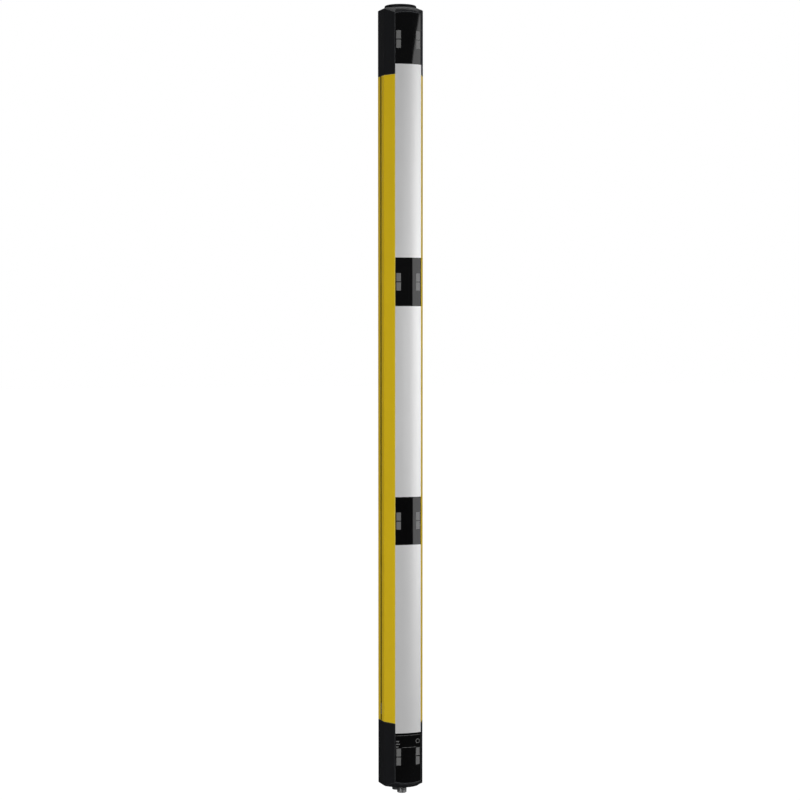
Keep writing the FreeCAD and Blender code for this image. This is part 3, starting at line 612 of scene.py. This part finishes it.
def make_world():
    """White to the camera, dim in gloss, and otherwise darker on the camera's side of the post."""
    world = bpy.data.worlds.new("studio")
    bpy.context.scene.world = world
    world.use_nodes = True
    tree = world.node_tree
    tree.nodes.clear()
    direction = add_node(tree, "ShaderNodeTexCoord").outputs["Generated"]
    split = add_node(tree, "ShaderNodeSeparateXYZ", {"Vector": direction})
    away = mapped(tree, split.outputs["Y"], *WORLD_TURN, interpolation_type="SMOOTHSTEP")
    shade = mix_colours(tree, away, grey(WORLD_NEAR), grey(WORLD_FAR))
    path = add_node(tree, "ShaderNodeLightPath")
    light = mix_colours(tree, path.outputs["Is Glossy Ray"], shade, grey(WORLD_IN_GLOSS))
    around = add_node(tree, "ShaderNodeBackground", {"Color": light})
    white = add_node(tree, "ShaderNodeBackground", {"Color": (*grey(1.0), 1.0)})
    pick = add_node(tree, "ShaderNodeMixShader", {
        "Fac": path.outputs["Is Camera Ray"], 1: around.outputs["Background"],
        2: white.outputs["Background"]})
    add_node(tree, "ShaderNodeOutputWorld", {"Surface": pick.outputs["Shader"]})


def make_floor_white():
    """Pale and matt, dim in gloss, and nearly white to the camera, which still sees a soft shadow."""
    material = bpy.data.materials.new("floor_white")
    material.use_nodes = True
    tree = material.node_tree
    tree.nodes.clear()
    path = add_node(tree, "ShaderNodeLightPath")
    pale = mix_colours(tree, path.outputs["Is Glossy Ray"], grey(FLOOR_GREY), grey(FLOOR_IN_GLOSS))
    matt = add_node(tree, "ShaderNodeBsdfDiffuse", {"Color": pale})
    glow = add_node(tree, "ShaderNodeEmission", {"Color": (*grey(1.0), 1.0), "Strength": FLOOR_GLOW})
    pick = add_node(tree, "ShaderNodeMixShader", {
        "Fac": multiplied(tree, path.outputs["Is Camera Ray"], FLOOR_GLOW_SHARE),
        1: matt.outputs["BSDF"], 2: glow.outputs["Emission"]})
    add_node(tree, "ShaderNodeOutputMaterial", {"Surface": pick.outputs["Shader"]})
    return material


def make_floor():
    """A wide floor under the hanging post."""
    low = cad_box[0][2] - FLOOR_DROP
    corners = [(x * FLOOR_HALF, y * FLOOR_HALF, low) for x, y in ((-1, -1), (1, -1), (1, 1), (-1, 1))]
    mesh = bpy.data.meshes.new("floor")
    mesh.from_pydata(corners, [], [(0, 1, 2, 3)])
    mesh.materials.append(make_floor_white())
    add_object("floor", mesh)


# Front window, strips and the print round the lamp

def brow_height(drop, upwards, beam):
    """The arched end of the window at one end of the post, as a function of x and y."""
    diagonal = SHOULDER_RADIUS / math.sqrt(2)
    touch_radius = FLAT_RADIUS + diagonal
    touch_z = END_BEYOND_BEAM - SHOULDER_RADIUS + diagonal - drop

    def height(x, y):
        return beam + upwards * (touch_z - (math.hypot(x, y) - touch_radius))
    return height


def make_front_window():
    """The long curved pane, between the brows of the two caps."""
    drop = BROW_DROP + PANE_END_CLEARANCE
    outline = arc_outline(-PANE_HALF, PANE_HALF, PANE_DEPTH, PANE_DEPTH + PANE_THICKNESS, PANE_STEPS)
    pane = column(outline, brow_height(drop, -1, BEAMS[-1]), brow_height(drop, 1, BEAMS[0]))
    seat(smooth(new_piece("window_pane", pane, "window_black")), "front_window", slot="window_black")


def make_cover_strips():
    """The white strips on the pane, between the beams."""
    outline = arc_outline(-PANE_HALF, PANE_HALF, 0.0, STRIP_THICKNESS, PANE_STEPS)
    for name in STRIPS:
        low, high = (level(corner.z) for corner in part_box(name))
        strip = new_piece(name.replace("cover", "satin"), column(outline, low, high), "strip_white")
        seat(smooth(strip), name, slot="strip_white")


def printed_patch(x0, x1, z0, z1):
    """A patch of print on the pane between two places across and two heights, in steps of 1 mm."""
    steps = max(2, int((x1 - x0) / MM))
    outline = arc_outline(x0, x1, PANE_DEPTH - PRINT_DEPTH, PANE_DEPTH, steps)
    return column(outline, level(z0), level(z1))


def printed_ring(x, z, outer, inner, steps=32):
    """A ring of print on the pane round a place."""
    front, back = PANE_DEPTH - PRINT_DEPTH, PANE_DEPTH
    rims = [(outer, front), (inner, front), (inner, back), (outer, back)]
    verts = [(x + across, arc_y(x + across, depth), z + up)
             for radius, depth in rims for across, up in circle(radius, steps)]
    faces = []
    for rim in range(len(rims)):
        a, b = rim * steps, (rim + 1) % len(rims) * steps
        for i in range(steps):
            j = (i + 1) % steps
            faces.append((a + i, a + j, b + j, b + i))
    return verts, faces


def make_lamp_print():
    """Plain lines, bars and a ring round the lamp on the lowest window."""
    beam = BEAMS[-1]
    shapes = [printed_patch(left * MM, right * MM, beam + bottom * MM, beam + top * MM)
              for left, right, bottom, top in LAMP_LINES_MM]
    shapes.append(printed_ring(LAMP_X, beam + LAMP_ABOVE_BEAM, LAMP_RING_OUTER, LAMP_RING_INNER))
    seat(new_piece("lamp_print", join_shapes(shapes), "mark_grey"), slot="window_black")


# End caps

def rounded_corner(before, here, after, radius, steps=6):
    """The points of the arc that rounds one corner of an outline."""
    towards, onwards = (before - here).normalized(), (after - here).normalized()
    half = towards.angle(onwards) / 2
    reach = radius / math.tan(half)
    centre = here + (towards + onwards).normalized() * radius / math.sin(half)
    start, end = here + towards * reach - centre, here + onwards * reach - centre
    return [centre + start.lerp(end, share).normalized() * radius for share in evenly(0, 1, steps)]


def section_outline():
    """The outer section, with arcs at its corners and a round front."""
    right = [(HALF_WINDOW, arc_y(HALF_WINDOW), LIP_RADIUS), (HALF_WIDTH, -HALF_SIDE, CORNER_RADIUS),
             (HALF_WIDTH, HALF_SIDE, CORNER_RADIUS), (HALF_REAR, HALF_DEPTH, CORNER_RADIUS)]
    left = [(-x, y, radius) for x, y, radius in reversed(right)]
    front = [(x, arc_y(x), 0.0) for x in evenly(-HALF_WINDOW, HALF_WINDOW, FRONT_STEPS)[1:-1]]
    loop = right + left + front
    points = []
    for i, (*_, radius) in enumerate(loop):
        before, here, after = (Vector(loop[n % len(loop)][:2]) for n in (i - 1, i, i + 1))
        points += rounded_corner(before, here, after, radius) if radius else [here]
    return points


def shoulder_drop(radius):
    """How far a cap's rounded end has dropped at a distance from the axis."""
    out = max(0.0, radius - FLAT_RADIUS)
    edge = SHOULDER_RADIUS * math.sin(SHOULDER_END)
    if out <= edge:
        return SHOULDER_RADIUS - math.sqrt(SHOULDER_RADIUS ** 2 - out ** 2)
    drop = SHOULDER_RADIUS * (1 - math.cos(SHOULDER_END))
    return drop + (out - edge) * math.tan(SHOULDER_END)


def cap_shape():
    """A cap's outside: a straight skirt, a small round and the shoulder up to the flat end.

    A stage of the round is a share of its size inwards and a share below the shoulder.
    """
    outline = section_outline()
    verts = [(p.x, p.y, CAP_START) for p in outline]
    for inset, below in EDGE_STAGES:
        for p in outline:
            rim = p.normalized() * (p.length - inset * EDGE_ROUND)
            drop = shoulder_drop(p.length - EDGE_ROUND / 2) + below * EDGE_ROUND
            verts.append((rim.x, rim.y, -drop))
    for share in evenly(1, 0, SHOULDER_STEPS):
        for p in outline:
            radius = FLAT_RADIUS + (p.length - EDGE_ROUND - FLAT_RADIUS) * share
            ring = p.normalized() * radius
            verts.append((ring.x, ring.y, -shoulder_drop(radius)))
    return verts, closed_faces(len(outline), len(verts) // len(outline))


def carve_window_seat(cap):
    """Cuts the slot that the window fills, with its arched end under the brow."""
    columns, rows = SEAT_STEPS
    half = PANE_HALF + PANE_SIDE_CLEARANCE
    carve(cap, grid_block(evenly(-half, half, columns), evenly(-2 * HALF_DEPTH, SEAT_Y, rows),
                          level(CAP_START - CUT_PAST), brow_height(BROW_DROP, 1, -END_BEYOND_BEAM)))


def carve_screw_wells(cap):
    """Cuts the two screw wells, whose outer corner is cut back to leave a wall."""
    cut_x, cut_y = WELL_CORNER
    square = [(-WELL_HALF, -WELL_HALF), (WELL_HALF, -WELL_HALF), (WELL_HALF, WELL_HALF - cut_y),
              (WELL_HALF - cut_x, WELL_HALF), (-WELL_HALF, WELL_HALF)]
    for side in (-1, 1):
        outline = [(side * (WELL_X + x), WELL_Y + y) for x, y in square]
        carve(cap, column(outline, level(WELL_FLOOR), level(CUT_PAST)))


def carved_cap(name):
    """A cap with its seat and wells, as the upper one stands."""
    cap = new_piece(name, cap_shape(), "cap_black")
    carve_window_seat(cap)
    carve_screw_wells(cap)
    return cap


def spigot_shape():
    """The round spigot, with a rounded rim and a shallow sunk face."""
    profile = [(SPIGOT_RADIUS, -SPIGOT_SUNK)]
    for turn in evenly(0.0, math.pi / 2, SPIGOT_ROUND_STEPS):
        profile.append((SPIGOT_RADIUS - SPIGOT_ROUND * (1 - math.cos(turn)),
                        SPIGOT_HEIGHT - SPIGOT_ROUND * (1 - math.sin(turn))))
    face_radius = SPIGOT_RADIUS - SPIGOT_RIM
    profile.append((face_radius, SPIGOT_HEIGHT))
    profile.append((face_radius - FACE_SLOPE, SPIGOT_HEIGHT - FACE_DEPTH))
    return lathe(profile)


def make_top_cap():
    """The upper cap with its spigot."""
    cap = carved_cap("upper_cap")
    unite(cap, new_piece("spigot", spigot_shape(), "cap_black"))
    seat(smooth(cap, CAP_CREASE), "top_end_cap", slot="cap_black")


def make_bottom_cap():
    """The lower cap, which is the same moulding turned over, without a spigot."""
    cap = carved_cap("lower_cap")
    end = BEAMS[-1] - END_BEYOND_BEAM
    for vertex in cap.data.vertices:
        vertex.co.z = end - vertex.co.z
    cap.data.flip_normals()
    seat(smooth(cap, CAP_CREASE), "bottom_end_cap", slot="cap_black")


# Geometry Nodes for what repeats: beam marks, thread turns and ribs

def new_tree(name, inputs):
    """A geometry node tree with named inputs, and the nodes at its two ends."""
    tree = bpy.data.node_groups.new(name, "GeometryNodeTree")
    tree.interface.new_socket("Geometry", in_out="INPUT", socket_type="NodeSocketGeometry")
    for label, kind in inputs:
        tree.interface.new_socket(label, in_out="INPUT", socket_type=kind)
    tree.interface.new_socket("Geometry", in_out="OUTPUT", socket_type="NodeSocketGeometry")
    return tree, add_node(tree, "NodeGroupInput"), add_node(tree, "NodeGroupOutput")


def transformed(tree, geometry, **change):
    """Geometry moved or turned, by a Translation or a Rotation."""
    return add_node(tree, "GeometryNodeTransform",
                    {"Geometry": geometry, **change}).outputs["Geometry"]


def finish_tree(tree, geometry, source, sink):
    """Ends a tree with real geometry and its material."""
    real = add_node(tree, "GeometryNodeRealizeInstances", {"Geometry": geometry})
    painted = add_node(tree, "GeometryNodeSetMaterial", {
        "Geometry": real.outputs["Geometry"], "Material": source.outputs["Material"]})
    feed(tree, sink, {"Geometry": painted.outputs["Geometry"]})
    return tree


def grow(piece, tree, values):
    """Runs a tree on a piece and keeps what it makes as a plain mesh."""
    modifier = piece.modifiers.new(piece.name, "NODES")
    modifier.node_group = tree
    for item in tree.interface.items_tree:
        if item.in_out == "INPUT" and item.name in values:
            modifier[item.identifier] = values[item.name]
    return bake(piece)


def make_mark_tree():
    """One curved field, stacked in twos, turned to both sides and repeated at every beam."""
    tree, source, sink = new_tree("beam_mark_fields", [
        ("Beams", "NodeSocketInt"), ("First Beam", "NodeSocketFloat"), ("Pitch", "NodeSocketFloat"),
        ("Stack Step", "NodeSocketFloat"), ("Side Turn", "NodeSocketFloat"),
        ("Front Centre", "NodeSocketFloat"), ("Material", "NodeSocketMaterial")])
    given = source.outputs

    def along(axis, value):
        return add_node(tree, "ShaderNodeCombineXYZ", {axis: value}).outputs["Vector"]

    def repeated(geometry, start, step, count):
        row = add_node(tree, "GeometryNodeMeshLine", {
            "Count": count, "Start Location": along("Z", start), "Offset": along("Z", step)})
        return add_node(tree, "GeometryNodeInstanceOnPoints", {
            "Points": row.outputs["Mesh"], "Instance": geometry}).outputs["Instances"]

    stack = repeated(given["Geometry"], multiplied(tree, given["Stack Step"], -0.5),
                     given["Stack Step"], 2)
    both_sides = add_node(tree, "GeometryNodeJoinGeometry")
    for side in (-1.0, 1.0):
        turn = along("Z", multiplied(tree, given["Side Turn"], side))
        feed(tree, both_sides, {"Geometry": transformed(tree, stack, Rotation=turn)})
    beams = repeated(both_sides.outputs["Geometry"], given["First Beam"],
                     multiplied(tree, given["Pitch"], -1.0), given["Beams"])
    placed = transformed(tree, beams, Translation=along("Y", given["Front Centre"]))
    return finish_tree(tree, placed, source, sink)


def make_beam_marks():
    """Four grey fields beside each beam, which show where it leaves."""
    verts, faces = printed_patch(-MARK_WIDTH / 2, MARK_WIDTH / 2, -MARK_HEIGHT / 2, MARK_HEIGHT / 2)
    round_axis = [(x, y - FRONT_CENTRE_Y, z) for x, y, z in verts]
    marks = grow(new_piece("beam_marks", (round_axis, faces), "mark_grey"), make_mark_tree(), {
        "Beams": len(BEAMS), "First Beam": BEAMS[0], "Pitch": BEAMS[0] - BEAMS[1],
        "Stack Step": MARK_HEIGHT + MARK_GAP, "Side Turn": math.asin(MARK_X / FRONT_RADIUS),
        "Front Centre": FRONT_CENTRE_Y, "Material": FINISHES["mark_grey"]})
    seat(smooth(marks), slot="window_black")


def make_thread_tree():
    """A raised thread: a small round wire swept along a helix."""
    tree, source, sink = new_tree("thread_turns", [
        ("Radius", "NodeSocketFloat"), ("Length", "NodeSocketFloat"), ("Turns", "NodeSocketFloat"),
        ("Wire", "NodeSocketFloat"), ("Place", "NodeSocketVector"), ("Material", "NodeSocketMaterial")])
    given = source.outputs
    helix = add_node(tree, "GeometryNodeCurveSpiral", {
        "Resolution": THREAD_TURN_POINTS, "Start Radius": given["Radius"], "End Radius": given["Radius"],
        "Height": given["Length"], "Rotations": given["Turns"]})
    wire = add_node(tree, "GeometryNodeCurvePrimitiveCircle", {
        "Resolution": WIRE_POINTS, "Radius": given["Wire"]})
    sweep = add_node(tree, "GeometryNodeCurveToMesh", {
        "Curve": helix.outputs["Curve"], "Profile Curve": wire.outputs["Curve"], "Fill Caps": True})
    placed = transformed(tree, sweep.outputs["Mesh"], Translation=given["Place"])
    return finish_tree(tree, placed, source, sink)


def make_connector_thread():
    """The thread that a cable's nut screws on to."""
    low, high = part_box("connector_shell")
    centre = (low + high) / 2
    empty = add_object("connector_thread", bpy.data.meshes.new("connector_thread"))
    thread = grow(empty, make_thread_tree(), {
        "Radius": measured(high.x) - THREAD_SUNK, "Length": THREAD_LENGTH,
        "Turns": THREAD_LENGTH / THREAD_PITCH, "Wire": THREAD_WIRE,
        "Place": (centre.x, centre.y, low.z + THREAD_START), "Material": FINISHES["connector_metal"]})
    seat(smooth(thread, TURNED_CREASE), slot="connector_metal")


def make_rib_tree():
    """Ribs that stand evenly round a plug."""
    tree, source, sink = new_tree("knurl_ribs", [
        ("Radius", "NodeSocketFloat"), ("Length", "NodeSocketFloat"), ("Count", "NodeSocketInt"),
        ("Wire", "NodeSocketFloat"), ("Place", "NodeSocketVector"), ("Material", "NodeSocketMaterial")])
    given = source.outputs
    ring = add_node(tree, "GeometryNodeMeshCircle", {
        "Vertices": given["Count"], "Radius": given["Radius"]})
    rib = add_node(tree, "GeometryNodeMeshCylinder", {
        "Vertices": WIRE_POINTS, "Radius": given["Wire"], "Depth": given["Length"]})
    standing = add_node(tree, "GeometryNodeInstanceOnPoints", {
        "Points": ring.outputs["Mesh"], "Instance": rib.outputs["Mesh"]})
    placed = transformed(tree, standing.outputs["Instances"], Translation=given["Place"])
    return finish_tree(tree, placed, source, sink)


def make_plug_ribs():
    """The ribs by which the blanking plug is turned."""
    low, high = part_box("blanking_plug")
    centre = (low + high) / 2
    ribs = grow(add_object("plug_knurl", bpy.data.meshes.new("plug_knurl")), make_rib_tree(), {
        "Radius": measured(high.x) - RIB_SUNK, "Length": RIB_LENGTH, "Count": RIB_COUNT,
        "Wire": RIB_WIRE, "Place": (centre.x, centre.y, low.z + RIB_MIDDLE),
        "Material": FINISHES["plug_black"]})
    seat(smooth(ribs, TURNED_CREASE), slot="plug_black")


# Everything that keeps its solid's own shape

REBUILT = {"front_window", "top_end_cap", "bottom_end_cap", *STRIPS}
NODE_FINISH = {part["node"]: part["material_slot"] for part in frame["record"]["subparts"]}


def dress_solid(name):
    """A copy of a solid with even, smooth faces and its finish."""
    piece = add_object("dressed_" + name, nodes[name].data.copy())
    mesh = piece.data
    mesh.materials.clear()
    mesh.materials.append(FINISHES[NODE_FINISH[name]])
    for polygon in mesh.polygons:
        polygon.material_index = 0
    if mesh.has_custom_normals:
        mesh.attributes.remove(mesh.attributes["custom_normal"])
    seat(smooth(piece, crease=30.0, merge=0.002 * MM), name, slot=NODE_FINISH[name])


make_camera()
make_world()
make_floor()
make_panel("key_panel", azimuth=52, distance=1.7, height=-0.36, size=(1.3, 1.2), watts=10.3, roll=6.2)
make_panel("side_panel", azimuth=-52, distance=1.7, height=-0.45, size=(0.8, 1.6), watts=8.3)
make_panel("front_panel", azimuth=4, distance=1.3, height=-0.40, size=(0.4, 0.4), watts=5.0,
           mirrored=False)
make_panel("top_panel", azimuth=170, distance=0.55, height=1.15, size=(1.6, 0.7), watts=9.0,
           aim_height=-0.1)
make_panel("rear_panel", azimuth=178, distance=2.2, height=-0.2, size=(1.0, 1.8), watts=16.0,
           mirrored=False)

make_front_window()
make_cover_strips()
make_beam_marks()
make_lamp_print()
make_top_cap()
make_bottom_cap()
make_connector_thread()
make_plug_ribs()
for name in sorted(set(nodes) - REBUILT):
    dress_solid(name)

bpy.context.scene.view_settings.view_transform = "Standard"
